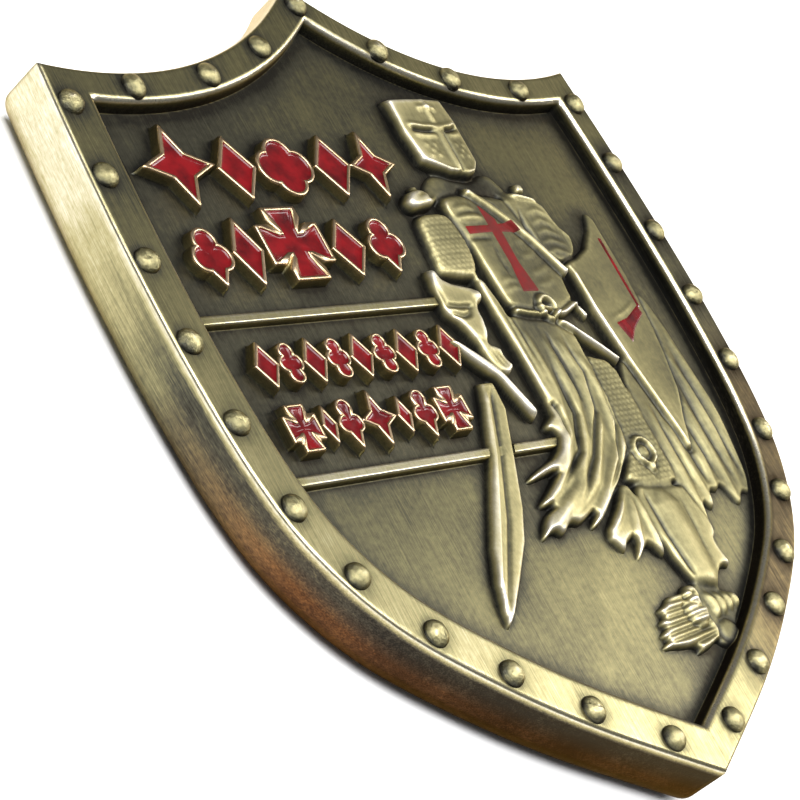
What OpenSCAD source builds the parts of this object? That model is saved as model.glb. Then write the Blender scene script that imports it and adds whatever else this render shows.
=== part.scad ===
// Shield-shaped challenge coin: one struck metal piece with coloured enamel fills.
// Millimetres. X is across the shield, +Y points to its peak, +Z points out of the front.
// The origin is the middle of the outline's box, on the plane that the reverse rests on.
// Places on the face are given in the drawing frame, where the axis of the shield is x = 0.

/* [Coin] */
// Thickness of the coin at its border
coin_t = 3.6; // [3.2:0.1:4.2]
// Width of the raised border along the two sides
side_border = 2.1; // [1.8:0.1:2.6]
// Width of the raised border along the two top arcs
top_border = 1.6; // [1.4:0.1:2]
// Height of the front field above the resting plane
field_z = 2.75; // [2.6:0.05:2.85]
// How far the wall between border and field slopes inwards on its way down
wall_slope = 0.15; // [0.1:0.05:0.3]
// How far the struck face sits to the right of the middle of the blank
strike_x = 0.3; // [0:0.1:0.4]

/* [Rounded back edge] */
// Height of the rounded part of the outer edge
nose_h = 1.3; // [1:0.1:1.6]
// How far the resting plane is set back from the outer edge
nose_in = 1.2; // [0.8:0.1:1.4]

/* [Rivet heads] */
// Radius of a rivet head where it meets the border
rivet_r = 0.65; // [0.55:0.05:0.75]
// Height of a rivet head above the border
rivet_h = 0.4; // [0.3:0.05:0.5]
// How far the middle of a rivet head is from the outer edge
rivet_in = 0.85; // [0.75:0.05:1]

/* [Ornaments] */
// Height of the ornament blocks above the field
ornament_h = 0.6; // [0.5:0.05:0.8]
// Width of the metal rim round a large enamel fill
large_rim = 0.2; // [0.15:0.01:0.24]
// Width of the metal rim round a small enamel fill
small_rim = 0.16; // [0.12:0.01:0.2]
// Depth of an enamel pocket below the top of its rim
pocket_d = 0.35; // [0.25:0.05:0.45]
// How far the enamel stays below the top of its rim
enamel_low = 0.08; // [0.04:0.01:0.15]

/* [Bars] */
// Width of the two raised bars
bar_w = 0.6; // [0.4:0.05:0.8]
// Height of the bars above the field
bar_h = 0.4; // [0.3:0.05:0.6]

/* [Reverse] */
// Width of the flat rim that the coin rests on
back_rim = 2.2; // [1.8:0.1:2.6]
// Depth of the reverse field
back_d = 0.4; // [0.3:0.05:0.6]
// How far the device on the reverse stays below the resting plane
device_low = 0.1; // [0.05:0.01:0.2]

/* [Hidden] */

brass = "#a3986a";
enamel_red = "#9e1018";

$fn = 32;
over = 0.1;
sink = 0.15;

// ---- Outline of the shield ----

// The top edge is two hollow arcs that meet in the peak
arc_r = 22.1;
arc_cx = 14.6;
arc_cy = 42.1;
// Places along the right side, from the top corner round to the tip
corner_x = 19.3;
tip_y = -18.6;
side_knots = [[corner_x, 20.5], [19.7, 15.5], [19.95, 10], [19.9, 4.5], [19.4, -0.8],
    [18.2, -4.8], [15.6, -8.6], [11.5, -12], [6.7, -15.1], [0, tip_y]];
peak_y = arc_cy - sqrt(arc_r * arc_r - arc_cx * arc_cx);
middle_y = (peak_y + tip_y) / 2;
side_steps = 27;
arc_steps = 12;
solve_steps = 24;
last_knot = len(side_knots) - 1;
// A place on the axis that sees the whole outline
hub_y = 3;

// Height of the top arc at x, set back by d
function arc_y(x, d) = arc_cy - sqrt(pow(arc_r + d, 2) - pow(x - arc_cx, 2));
function knot(i) = side_knots[max(0, min(last_knot, i))];
// A smooth curve through four places in a row, and its direction
function blend(a, b, c, e, t) =
    0.5 * (2 * b + (c - a) * t + (2 * a - 5 * b + 4 * c - e) * t * t + (3 * b - a - 3 * c + e) * t * t * t);
function blend_slope(a, b, c, e, t) =
    0.5 * ((c - a) + 2 * (2 * a - 5 * b + 4 * c - e) * t + 3 * (3 * b - a - 3 * c + e) * t * t);
// A place on the right side at s = 0 (corner) to last_knot (tip), set back by d
function side_span(s) = min(last_knot - 1, floor(s));
function side_at(s, d) =
    let (i = side_span(s), t = s - i,
        p = blend(knot(i - 1), knot(i), knot(i + 1), knot(i + 2), t),
        v = blend_slope(knot(i - 1), knot(i), knot(i + 1), knot(i + 2), t))
    p + d * [v.y, -v.x] / norm(v);
// The side starts where it meets the top arc, and ends where it meets the axis
function side_start(d, d_top, lo, hi, n) =
    let (m = (lo + hi) / 2, p = side_at(m, d))
    n == 0 ? m
        : p.y > arc_y(p.x, d_top) ? side_start(d, d_top, m, hi, n - 1)
        : side_start(d, d_top, lo, m, n - 1);
function side_end(d, lo, hi, n) =
    let (m = (lo + hi) / 2)
    n == 0 ? m : side_at(m, d).x > 0 ? side_end(d, m, hi, n - 1) : side_end(d, lo, m, n - 1);
// The right half of the outline, set back by d along the side and by d_top along the arc
function right_half(d, d_top) =
    let (s0 = d <= 0 ? 0 : side_start(d, d_top, 0, 3, solve_steps),
        s1 = d <= 0 ? last_knot : side_end(d, last_knot - 1, last_knot, solve_steps),
        cx = side_at(s0, d).x)
    concat(
        [for (i = [0 : arc_steps - 1]) let (x = cx * i / arc_steps) [x, arc_y(x, d_top)]],
        [for (i = [0 : side_steps - 1]) side_at(s0 + (s1 - s0) * i / side_steps, d)],
        [[0, side_at(s1, d).y]]);
function outline(d, d_top) =
    let (h = right_half(d, d_top), n = len(h))
    concat(h, [for (i = [n - 2 : -1 : 1]) [-h[i].x, h[i].y]]);

// ---- General shapes ----

// Moves the drawing frame onto the coin's own frame
module placed() {
    translate([0, -middle_y, 0])
        children();
}

module slab(points, z0, z1) {
    translate([0, 0, z0])
        linear_extrude(z1 - z0)
            polygon(points);
}

// A solid through a stack of outlines: levels holds [z, side set-back, arc set-back].
// Each cap is a fan of triangles round a place that sees the whole outline.
module loft(levels) {
    rings = [for (l = levels) [for (p = outline(l[1], l[2])) [p.x, p.y, l[0]]]];
    m = len(rings[0]);
    top = len(levels) - 1;
    low_hub = m * (top + 1);
    high_hub = low_hub + 1;
    polyhedron(
        points = concat([for (r = rings) each r], [[0, hub_y, levels[0][0]], [0, hub_y, levels[top][0]]]),
        faces = concat(
            [for (i = [0 : m - 1]) [low_hub, (i + 1) % m, i]],
            [for (k = [0 : top - 1], i = [0 : m - 1])
                [k * m + i, k * m + (i + 1) % m, (k + 1) * m + (i + 1) % m, (k + 1) * m + i]],
            [for (i = [0 : m - 1]) [high_hub, top * m + i, top * m + (i + 1) % m]]));
}

// A raised shape on the field, from just under it up to z1
module relief(points, z1) {
    slab(points, field_z - sink, z1);
}

// A straight raised strip of width w between two places
module strip(a, b, w, z1) {
    v = (b - a) / norm(b - a);
    n = [-v.y, v.x] * w / 2;
    relief([a + n, b + n, b - n, a - n], z1);
}

// ---- Ornaments, each drawn at the size of its enamel and grown by g for its metal block ----

module lozenge(w, h, g) {
    k = 1 + 2 * g * norm([w, h]) / (w * h);
    polygon([[w / 2 * k, 0], [0, h / 2 * k], [-w / 2 * k, 0], [0, -h / 2 * k]]);
}

module box2(w, h, g) {
    square([w + 2 * g, h + 2 * g], center = true);
}

// Radius of a lobe as a share of the width
lobe = 0.27;

module quatrefoil(w, h, g) {
    r = min(w, h) * lobe;
    for (s = [-1, 1]) {
        translate([s * (w / 2 - r), 0])
            circle(r + g);
        translate([0, s * (h / 2 - r)])
            circle(r + g);
    }
    lozenge(w * 0.8, h * 0.8, g);
}

module trefoil(w, h, g) {
    r = w * lobe;
    for (s = [-1, 1])
        translate([s * (w / 2 - r), -h * 0.04])
            circle(r + g);
    translate([0, h / 2 - r])
        circle(r + g);
    translate([0, -h * 0.1])
        lozenge(w * 0.62, h * 0.8, g);
}

// Width of a star's rays as a share of its size
ray = 0.46;

module star(w, h, g) {
    lozenge(w, h * ray, g);
    lozenge(w * ray, h, g);
}

// Widths of a cross's arms and of the bars at their ends, as shares of its size
arm_share = 0.26;
foot_share = 0.16;

module cross(w, h, g) {
    arm = min(w, h) * arm_share;
    foot = min(w, h) * foot_share;
    box2(w, arm, g);
    box2(arm, h, g);
    for (s = [-1, 1]) {
        translate([s * (w - foot) / 2, 0])
            box2(foot, h * 0.5, g);
        translate([0, s * (h - foot) / 2])
            box2(w * 0.5, foot, g);
    }
}

module ornament(kind, w, h, g) {
    if (kind == "lozenge") lozenge(w, h, g);
    if (kind == "quatrefoil") quatrefoil(w, h, g);
    if (kind == "trefoil") trefoil(w, h, g);
    if (kind == "star") star(w, h, g);
    if (kind == "cross") cross(w, h, g);
}

// Each row lists kind, x, y, width, height and rim width; the size includes the rim
row_a = [
    ["star", -13.4, 15.2, 4.1, 4.0, large_rim],
    ["lozenge", -9.75, 15, 2.5, 3.3, large_rim],
    ["quatrefoil", -6.45, 15, 3.7, 3.3, large_rim],
    ["lozenge", -3.1, 15, 2.5, 3.3, large_rim],
    ["star", -0.15, 15, 3.0, 3.3, large_rim]];
row_b = [
    ["trefoil", -14.35, 10.4, 2.5, 3.0, large_rim],
    ["lozenge", -11.95, 10.5, 2.0, 3.3, large_rim],
    ["cross", -8.6, 10.8, 4.2, 4.0, large_rim],
    ["lozenge", -5.15, 10.4, 2.3, 3.0, large_rim],
    ["trefoil", -2.4, 10.5, 2.5, 3.0, large_rim]];
small_x = -14.6;
small_pitch = 1.58;
small_y = 4.7;
row_c = [for (i = [0 : 8])
    [i % 2 == 0 ? "lozenge" : "quatrefoil", small_x + small_pitch * i, small_y, 1.5, 2.15, small_rim]];
row_d = [
    ["cross", -14.35, 1.5, 2.1, 2.4, small_rim],
    ["lozenge", -12.7, 1.5, 0.95, 1.6, small_rim],
    ["trefoil", -11.3, 1.5, 1.6, 2.4, small_rim],
    ["star", -9.35, 1.5, 2.1, 2.4, small_rim],
    ["lozenge", -7.6, 1.5, 0.95, 1.6, small_rim],
    ["trefoil", -6.15, 1.5, 1.6, 2.4, small_rim],
    ["cross", -4.1, 1.5, 2.1, 2.4, small_rim]];
ornament_z = field_z + ornament_h;

module ornament_at(o, g) {
    translate([o[1], o[2]] + ornaments_at)
        ornament(o[0], o[3] - 2 * o[5], o[4] - 2 * o[5], g);
}

module ornament_blocks() {
    for (row = [row_a, row_b, row_c, row_d], o = row)
        translate([0, 0, field_z - sink])
            linear_extrude(ornament_h + sink)
                ornament_at(o, o[5]);
}

module ornament_pockets() {
    for (row = [row_a, row_b, row_c, row_d], o = row)
        translate([0, 0, ornament_z - pocket_d])
            linear_extrude(pocket_d + over)
                ornament_at(o, 0);
}

module enamel_fill(o) {
    color(enamel_red)
        placed()
            translate([0, 0, ornament_z - pocket_d])
                linear_extrude(pocket_d - enamel_low)
                    ornament_at(o, 0);
}

// ---- Knight ----

blade_z = field_z + 0.5;
guard_z = field_z + 0.75;
cape_z = field_z + 0.35;
mail_z = field_z + 0.5;
cloth_z = field_z + 0.6;
chest_z = field_z + 0.65;
shield_z = field_z + 0.6;
arm_z = field_z + 0.7;
belt_z = field_z + 0.8;
helm_z = field_z + 0.75;
ridge_z = field_z + 0.85;
cross_d = 0.25;
// Ribs and folds stand this much above the shape they lie on, and are this wide
rib_up = 0.12;
rib_w = 0.22;
fold_up = 0.15;
fold_w = 0.45;

// Both crosses that carry enamel on the knight, as plain outlines
chest_upright = [[6.2, 12.2], [7, 11.5], [6.95, 9], [7.25, 7.4], [6, 7.4], [6.2, 9]];
chest_arm = [[4.1, 10.75], [4.1, 11.3], [6.4, 11.25], [8, 11.35], [8.4, 10.85], [6.4, 10.8]];
shield_arm = [[12.2, 5.1], [13.4, 5.35], [15.1, 6.1], [15.1, 5.7], [13.6, 4.7], [12.7, 3.9]];
shield_upright = [[15.1, 10.3], [15.4, 10.3], [15.35, 6], [15.1, 6]];

module sword() {
    // Blade, its ridge, the guard and the grip in the gauntlet
    relief([[-0.9, 2.8], [-3.3, -1.4], [-6.2, -5.3], [-7.5, -7.6], [-7.8, -9.2], [-7.1, -8.8],
        [-5.6, -7.4], [-3.8, -5.6], [-1.2, -1.3], [0.1, 1.2], [0.2, 2.6]], blade_z);
    strip([-0.3, 2.4], [-7.3, -8.2], rib_w, blade_z + fold_up);
    relief([[-1.7, 5.0], [-1.3, 5.2], [0.4, 3.7], [0.9, 3.1], [1.3, 2.2], [1.9, 0.8], [1.7, 0.4],
        [1.2, 0.6], [0.7, 1.7], [0.3, 2.7], [-0.4, 3.1], [-1.1, 4.0]], guard_z);
    strip([0.6, 3], [1.5, 5.4], 0.6, guard_z);
}

module cape() {
    relief([[14.4, 6.5], [16.6, 7.6], [17, 4], [16.9, -1], [16.4, -4], [15.6, -5.4], [14.9, -5.2],
        [14.2, -6], [13.5, -4.6], [12.9, -4.9], [12.3, -4.7], [11.8, -5.8], [11.1, -5.2],
        [10.8, -6.8], [10.2, -7.2], [9.6, -3], [9.9, 2]], cape_z);
    for (x = [11.2, 12.6, 14, 15.3])
        strip([x + 0.4, 0.5], [x - 0.1, -4.4], fold_w, cape_z + fold_up);
}

module shield_plate() {
    relief([[10.7, 8.8], [12, 9.1], [13.5, 9.7], [14.7, 10.8], [15.5, 12], [15.95, 8], [15.5, 4.5],
        [14.4, 1], [13.2, -1], [12.6, -2.3], [12.3, -2.2], [11.9, 0], [11.3, 3], [10.8, 6]], shield_z);
    strip([10.9, 8.6], [10.95, 6], rib_w, shield_z + rib_up);
    strip([10.95, 6], [11.4, 3], rib_w, shield_z + rib_up);
    strip([11.4, 3], [12.3, -1.9], rib_w, shield_z + rib_up);
}

module right_arm() {
    relief([[8.6, 13.2], [11.7, 12.6], [12.1, 11.3], [12.8, 10.2], [12.2, 9.2], [10.8, 8.8],
        [9.8, 9.6], [9.4, 11]], arm_z);
    for (i = [0 : 4])
        strip([10.1, 12.3 - 0.65 * i], [11.8, 11.9 - 0.6 * i], rib_w, arm_z + rib_up);
    relief([[10.4, 13.3], [10.5, 13.8], [11, 13.9], [11.1, 13.1]], arm_z - 0.3);
}

module torso() {
    relief([[3.8, 13.1], [5.6, 13.3], [7.5, 13.2], [9.8, 12.8], [9.9, 11.5], [10.2, 9.5],
        [10.3, 8.2], [10, 7.6], [9.9, 6.3], [7.5, 5.7], [4.3, 6.2], [4.1, 8.8], [4, 10.6],
        [3.6, 12.2]], chest_z);
    // Folds of the surcoat across the chest
    for (y = [8.6, 9.7])
        strip([7.6, y], [9.2, y + 0.5], rib_w, chest_z + rib_up);
    strip([3.9, 11.75], [6, 11.75], rib_w, chest_z + rib_up);
}

module left_arm() {
    // Shoulder plate, mail sleeve, elbow and forearm plates, hand
    relief([[1, 12.9], [2.2, 13.6], [3.9, 13.5], [3.9, 12.9], [2.7, 12.4], [1.2, 12.4]], arm_z);
    relief([[1.3, 12.3], [3.7, 12.3], [4.1, 10.6], [3.9, 9.2], [3.1, 8.2], [1.8, 8.4], [0.7, 8.8],
        [1, 10.2]], mail_z + 0.1);
    for (i = [0 : 5])
        strip([1.4, 9.2 + 0.55 * i], [3.6, 9 + 0.55 * i], rib_w, mail_z + 0.1 + rib_up);
    relief([[-0.5, 8.4], [0.1, 9.1], [0.4, 8.2], [2.5, 7.7], [2.6, 7], [1.9, 6.7], [1.6, 5.6],
        [1.1, 4.6], [0.5, 4.6], [0, 5.7], [-0.7, 6.7]], arm_z);
    strip([-0.4, 6.9], [1.3, 6.5], rib_w, arm_z + rib_up);
    relief([[0.3, 4.9], [1.9, 4.6], [2.1, 3.6], [1.5, 2.9], [0.7, 3]], arm_z - 0.1);
}

module straps() {
    strip([5.9, 13.4], [8.2, 11.2], 0.5, belt_z);
    strip([8.1, 11.35], [10.4, 8.1], 0.5, belt_z);
    strip([4.4, 6.2], [6.6, 5.9], 0.35, belt_z);
    strip([7.7, 5.8], [9.9, 6.5], 0.35, belt_z);
    strip([7.5, 5.5], [10.6, 3], 0.4, belt_z);
    translate([7.15, 6.3, field_z - sink])
        difference() {
            cylinder(r = 0.8, h = belt_z - field_z + sink);
            translate([0, 0, sink + chest_z - field_z])
                cylinder(r = 0.42, h = belt_z);
        }
}

module skirt() {
    // Surcoat below the belt, torn into strips that blow to the left
    relief([[4.2, 6.3], [8.4, 5.7], [8.3, 3.4], [7.9, 1], [7.55, -1.3], [7.4, -2.3], [5.4, -3.4],
        [4.2, -4.1], [2.6, -5.2], [1.4, -5.5], [2.4, -4.4], [0.8, -5.1], [0, -5.1], [-0.8, -5.5],
        [-2.4, -5.6], [-1.5, -4.5], [-0.3, -3.8], [-1.5, -3.9], [0.4, -2.7], [1.2, -2.2],
        [-1.5, -2.6], [-0.6, -2.2], [1.8, -1.5], [2.7, -0.4], [2.1, 0.1], [3.2, 0.8], [3.1, 4],
        [3, 7], [3.2, 8.4], [3.9, 7]], cloth_z);
    for (f = [[[4.2, 5.6], [3.9, 0.8], [1.4, -3.4]], [[5.6, 5.4], [5.6, 0.6], [2.4, -3.4]],
            [[6.9, 5.2], [7.1, 1.2], [4.4, -3]]]) {
        strip(f[0], f[1], fold_w, cloth_z + fold_up);
        strip(f[1], f[2], fold_w, cloth_z + fold_up);
    }
    relief([[5.2, -3.6], [4.4, -4.4], [2.2, -5.9], [3, -7], [4.3, -6.3], [3.6, -7.6], [5, -6.8],
        [5.8, -7.8], [6.2, -6], [6, -3.8]], cloth_z - 0.2);
}

module mail_skirt() {
    relief([[8, 3.8], [10.3, 3.1], [10.1, 0], [10, -3.9], [9.2, -4.1], [6.6, -3.8], [5.9, -3.3],
        [7.2, -2], [7.6, 0.5]], mail_z);
    for (i = [0 : 7])
        strip([8.1, 2.9 - 0.6 * i], [9.8, 2.8 - 0.6 * i], rib_w, mail_z + rib_up);
    translate([8.45, -2.1, field_z - sink])
        difference() {
            cylinder(r = 0.9, h = belt_z - 0.2 - field_z + sink);
            translate([0, 0, mail_z - field_z + sink])
                cylinder(r = 0.6, h = belt_z);
        }
    translate([8.45, -2.1, field_z - sink])
        cylinder(r = 0.35, h = belt_z - 0.2 - field_z + sink);
}

module legs() {
    relief([[5.7, -3.6], [9.9, -3.9], [10.4, -5.5], [10.8, -7], [10.1, -7.4], [10.4, -8.8],
        [8.7, -9.1], [8.2, -9.9], [7, -9.9], [6.6, -9], [6, -7.6]], cloth_z - 0.1);
    strip([7.1, -4.2], [7.3, -9.2], fold_w, cloth_z + 0.05);
    strip([9.2, -4.4], [8.8, -8.8], fold_w, cloth_z + 0.05);
}

// A pointed plate of the foot armour, from its tip to its root
module lame(tip, root) {
    v = (root - tip) / norm(root - tip);
    n = [-v.y, v.x] * 0.24;
    relief([tip, tip * 0.6 + root * 0.4 + n, root + n, root - n, tip * 0.6 + root * 0.4 - n], mail_z);
}

module feet() {
    lame([3.2, -10], [5.6, -10]);
    lame([2.8, -10.55], [5.6, -10.5]);
    lame([2.2, -11.25], [5.8, -11]);
    lame([1.8, -11.85], [6, -11.55]);
    lame([3.9, -12.6], [6.6, -12]);
    relief([[5.4, -9.6], [6.3, -9.2], [8.3, -9.7], [9.6, -10.2], [9.3, -11], [8.4, -11.6],
        [8, -12.6], [6.6, -12.7], [5.9, -12], [5.2, -10.9]], mail_z - 0.15);
    for (p = [[5.4, -10.65, 0.65], [5.9, -9.75, 0.6], [7.6, -10.6, 0.85]])
        translate([p[0], p[1], field_z - sink])
            cylinder(r = p[2], h = mail_z - field_z + 0.2 + sink);
    for (i = [0 : 2])
        strip([7.2 + 0.5 * i, -10.1], [7.5 + 0.7 * i, -11.2], 0.2, mail_z + 0.3);
}

module helm() {
    // Closed helm with a flat crown, a reinforcing cross, an eye slot and breathing holes
    relief([[3.7, 19], [8.1, 19], [8.4, 17], [8.3, 15], [7.1, 14.3], [5.6, 14.4], [3.9, 15.2],
        [3.6, 17]], helm_z);
    strip([6.35, 18.8], [6.35, 14.5], 0.55, ridge_z);
    strip([4, 17.35], [8.2, 17.35], 0.3, ridge_z);
    strip([4.1, 16.75], [8.1, 16.75], 0.25, ridge_z);
    strip([5.4, 18.25], [7.2, 18.25], 0.35, ridge_z);
    for (x = [4.8, 7.3], i = [0 : 2], j = [0 : 1])
        translate([x + 0.35 * j, 15.4 + 0.4 * i, field_z])
            cylinder(r = 0.12, h = ridge_z - 0.05 - field_z);
    // Mail collar below the helm
    relief([[3.6, 13.6], [4.6, 14.6], [7, 14.2], [8.6, 14.4], [9.6, 13.4], [9.5, 12.9], [3.7, 12.9]],
        mail_z);
}

// Where the knight and the ornaments lie on the field
knight_at = [-0.45, -0.2, 0];
ornaments_at = [-0.3, -0.15];

module knight() {
    translate(knight_at) {
        cape();
        mail_skirt();
        legs();
        feet();
        torso();
        skirt();
        shield_plate();
        right_arm();
        left_arm();
        straps();
        sword();
        helm();
    }
}

module knight_pockets() {
    translate([knight_at.x, knight_at.y, chest_z - cross_d])
        linear_extrude(cross_d + over) {
            polygon(chest_upright);
            polygon(chest_arm);
        }
    translate([knight_at.x, knight_at.y, shield_z - cross_d])
        linear_extrude(cross_d + over) {
            polygon(shield_arm);
            polygon(shield_upright);
        }
}

// ---- Coin body ----

bar_1 = [[-18, 7.1], [-0.4, 7.1]];
bar_2 = [[-17.4, -1.05], [2, -1.05]];

module bars() {
    for (b = [bar_1, bar_2])
        strip(b[0], b[1], bar_w, field_z + bar_h);
}

// Rivet heads: how far each is along the side, then how far along the arc, and the one in the peak
rivet_R = (rivet_r * rivet_r + rivet_h * rivet_h) / (2 * rivet_h);
side_rivets = [0.5, 1.2, 2, 2.75, 3.5, 4.43, 5.4, 6.33, 7.1, 7.93, 8.53];
arc_rivets = [4.4, 9, 14.3];
peak_rivet_y = 24.2;
half_rivets = concat([for (s = side_rivets) side_at(s, rivet_in)],
    [for (x = arc_rivets) [x, arc_y(x, rivet_in)]]);
rivet_places = concat([[0, peak_rivet_y]], [for (s = [-1, 1], p = half_rivets) [s * p.x, p.y]]);

module rivet_heads() {
    for (p = rivet_places)
        translate([p.x, p.y, coin_t + rivet_h - rivet_R])
            sphere(rivet_R);
}

// The back edge is a quarter round, in a few steps
nose_steps = 5;
nose_levels = [for (i = [0 : nose_steps])
    let (a = 90 * i / nose_steps)
    [nose_h * (1 - cos(a)), nose_in * (1 - sin(a)), nose_in * (1 - sin(a))]];

module blank() {
    loft(nose_levels);
    slab(outline(0, 0), nose_h, field_z);
    difference() {
        slab(outline(0, 0), field_z, coin_t);
        translate([strike_x, 0, 0])
            loft([[field_z - over, side_border + wall_slope, top_border + wall_slope],
                [field_z, side_border + wall_slope, top_border + wall_slope],
                [coin_t, side_border, top_border],
                [coin_t + over, side_border, top_border]]);
    }
}

module reverse_recess() {
    slab(outline(nose_in + back_rim, nose_in + back_rim), -over, back_d);
}

// The device on the reverse is a plain cross with flared arms inside a narrow band
device_arm = 8;
device_w = 2.2;
device_flare = 6;
device_y = 3;
band_w = 0.7;
band_gap = 1;

module reverse_device() {
    translate([0, device_y, device_low])
        linear_extrude(back_d + sink - device_low)
            for (a = [0 : 90 : 270])
                rotate(a)
                    polygon([[0, 0], [device_w / 2, device_w / 2], [device_flare / 2, device_arm],
                        [-device_flare / 2, device_arm], [-device_w / 2, device_w / 2]]);
    d = nose_in + back_rim + band_gap;
    difference() {
        slab(outline(d, d), device_low, back_d + sink);
        slab(outline(d + band_w, d + band_w), device_low - over, back_d + sink + over);
    }
}

module coin_body() {
    color(brass)
        placed() {
            difference() {
                union() {
                    difference() {
                        blank();
                        reverse_recess();
                    }
                    rivet_heads();
                    bars();
                    ornament_blocks();
                    knight();
                }
                ornament_pockets();
                knight_pockets();
            }
            reverse_device();
        }
}

// ---- Enamel fills ----

module enamel_a1() enamel_fill(row_a[0]);
module enamel_a2() enamel_fill(row_a[1]);
module enamel_a3() enamel_fill(row_a[2]);
module enamel_a4() enamel_fill(row_a[3]);
module enamel_a5() enamel_fill(row_a[4]);
module enamel_b1() enamel_fill(row_b[0]);
module enamel_b2() enamel_fill(row_b[1]);
module enamel_b3() enamel_fill(row_b[2]);
module enamel_b4() enamel_fill(row_b[3]);
module enamel_b5() enamel_fill(row_b[4]);
module enamel_c1() enamel_fill(row_c[0]);
module enamel_c2() enamel_fill(row_c[1]);
module enamel_c3() enamel_fill(row_c[2]);
module enamel_c4() enamel_fill(row_c[3]);
module enamel_c5() enamel_fill(row_c[4]);
module enamel_c6() enamel_fill(row_c[5]);
module enamel_c7() enamel_fill(row_c[6]);
module enamel_c8() enamel_fill(row_c[7]);
module enamel_c9() enamel_fill(row_c[8]);
module enamel_d1() enamel_fill(row_d[0]);
module enamel_d2() enamel_fill(row_d[1]);
module enamel_d3() enamel_fill(row_d[2]);
module enamel_d4() enamel_fill(row_d[3]);
module enamel_d5() enamel_fill(row_d[4]);
module enamel_d6() enamel_fill(row_d[5]);
module enamel_d7() enamel_fill(row_d[6]);

module enamel_cross(parts, z1) {
    color(enamel_red)
        placed()
            translate([knight_at.x, knight_at.y, z1 - cross_d])
                linear_extrude(cross_d - enamel_low)
                    for (p = parts)
                        polygon(p);
}

module enamel_chest_cross() enamel_cross([chest_upright, chest_arm], chest_z);
module enamel_shield_cross() enamel_cross([shield_arm, shield_upright], shield_z);

coin_body();
enamel_a1();
enamel_a2();
enamel_a3();
enamel_a4();
enamel_a5();
enamel_b1();
enamel_b2();
enamel_b3();
enamel_b4();
enamel_b5();
enamel_c1();
enamel_c2();
enamel_c3();
enamel_c4();
enamel_c5();
enamel_c6();
enamel_c7();
enamel_c8();
enamel_c9();
enamel_d1();
enamel_d2();
enamel_d3();
enamel_d4();
enamel_d5();
enamel_d6();
enamel_d7();
enamel_chest_cross();
enamel_shield_cross();
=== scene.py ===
"""Looks of the shield-shaped challenge coin: worn antique brass with red enamel fills.

Lengths are millimetres in the drawing frame until a mesh is made: x = 0 is the axis of the shield, and
heights are counted from the plane that the reverse rests on, or for relief from the front field.
"""

from math import cos, hypot, pi, radians, sin, sqrt

import bpy
import numpy as np
from mathutils import Matrix, Vector


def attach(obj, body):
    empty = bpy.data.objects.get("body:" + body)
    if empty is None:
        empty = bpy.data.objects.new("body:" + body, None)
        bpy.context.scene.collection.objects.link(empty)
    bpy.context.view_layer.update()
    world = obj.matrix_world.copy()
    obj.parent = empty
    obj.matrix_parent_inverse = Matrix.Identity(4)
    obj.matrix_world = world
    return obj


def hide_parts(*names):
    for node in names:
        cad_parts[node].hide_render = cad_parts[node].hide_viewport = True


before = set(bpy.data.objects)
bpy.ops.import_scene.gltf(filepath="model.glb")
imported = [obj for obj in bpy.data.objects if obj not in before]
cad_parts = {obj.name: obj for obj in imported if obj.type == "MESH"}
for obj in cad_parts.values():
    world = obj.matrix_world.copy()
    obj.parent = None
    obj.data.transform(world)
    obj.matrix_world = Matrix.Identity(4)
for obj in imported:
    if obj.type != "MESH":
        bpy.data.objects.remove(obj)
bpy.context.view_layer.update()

MM = 0.001

# ---- Sizes of the coin, as in the CAD model ----

COIN_T = 3.6
SIDE_BORDER = 2.1
TOP_BORDER = 1.6
FIELD_Z = 2.75
WALL_SLOPE = 0.15
STRIKE_X = 0.3
NOSE_H = 1.3
NOSE_IN = 1.2
RIVET_R = 0.65
RIVET_H = 0.4
RIVET_IN = 0.85
SIDE_RIVETS = [0.5, 1.2, 2, 2.75, 3.5, 4.43, 5.4, 6.33, 7.1, 7.93, 8.53]
ARC_RIVETS = [4.4, 9, 14.3]
PEAK_RIVET_Y = 24.2
ORNAMENT_H = 0.6
LARGE_RIM = 0.2
SMALL_RIM = 0.16
POCKET_D = 0.35
BAR_W = 0.6
BAR_H = 0.4
BACK_RIM = 2.2
BACK_D = 0.4
DEVICE_LOW = 0.1
DEVICE_ARM = 8
DEVICE_W = 2.2
DEVICE_FLARE = 6
DEVICE_Y = 3
BACK_BAND_W = 0.7
BACK_BAND_GAP = 1
ARC_R = 22.1
ARC_CX = 14.6
ARC_CY = 42.1
CORNER_X = 19.3
SIDE_KNOTS = np.array([(CORNER_X, 20.5), (19.7, 15.5), (19.95, 10), (19.9, 4.5), (19.4, -0.8),
                       (18.2, -4.8), (15.6, -8.6), (11.5, -12), (6.7, -15.1), (0, -18.6)])
LAST_KNOT = len(SIDE_KNOTS) - 1
PEAK_Y = ARC_CY - sqrt(ARC_R ** 2 - ARC_CX ** 2)
MIDDLE_Y = (PEAK_Y + SIDE_KNOTS[-1, 1]) / 2
KNIGHT_AT = (-0.45, -0.2)
ORNAMENTS_AT = (-0.3, -0.15)

# Worn roundings that the CAD model leaves sharp: the border's outer and inner edge
EDGE_R = 0.2
INNER_R = 0.34


# ---- Outline of the shield ----

def arc_y(x, d):
    """Height of the hollow top arc at x, set back by d."""
    return ARC_CY - np.sqrt((ARC_R + d) ** 2 - (x - ARC_CX) ** 2)


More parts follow.
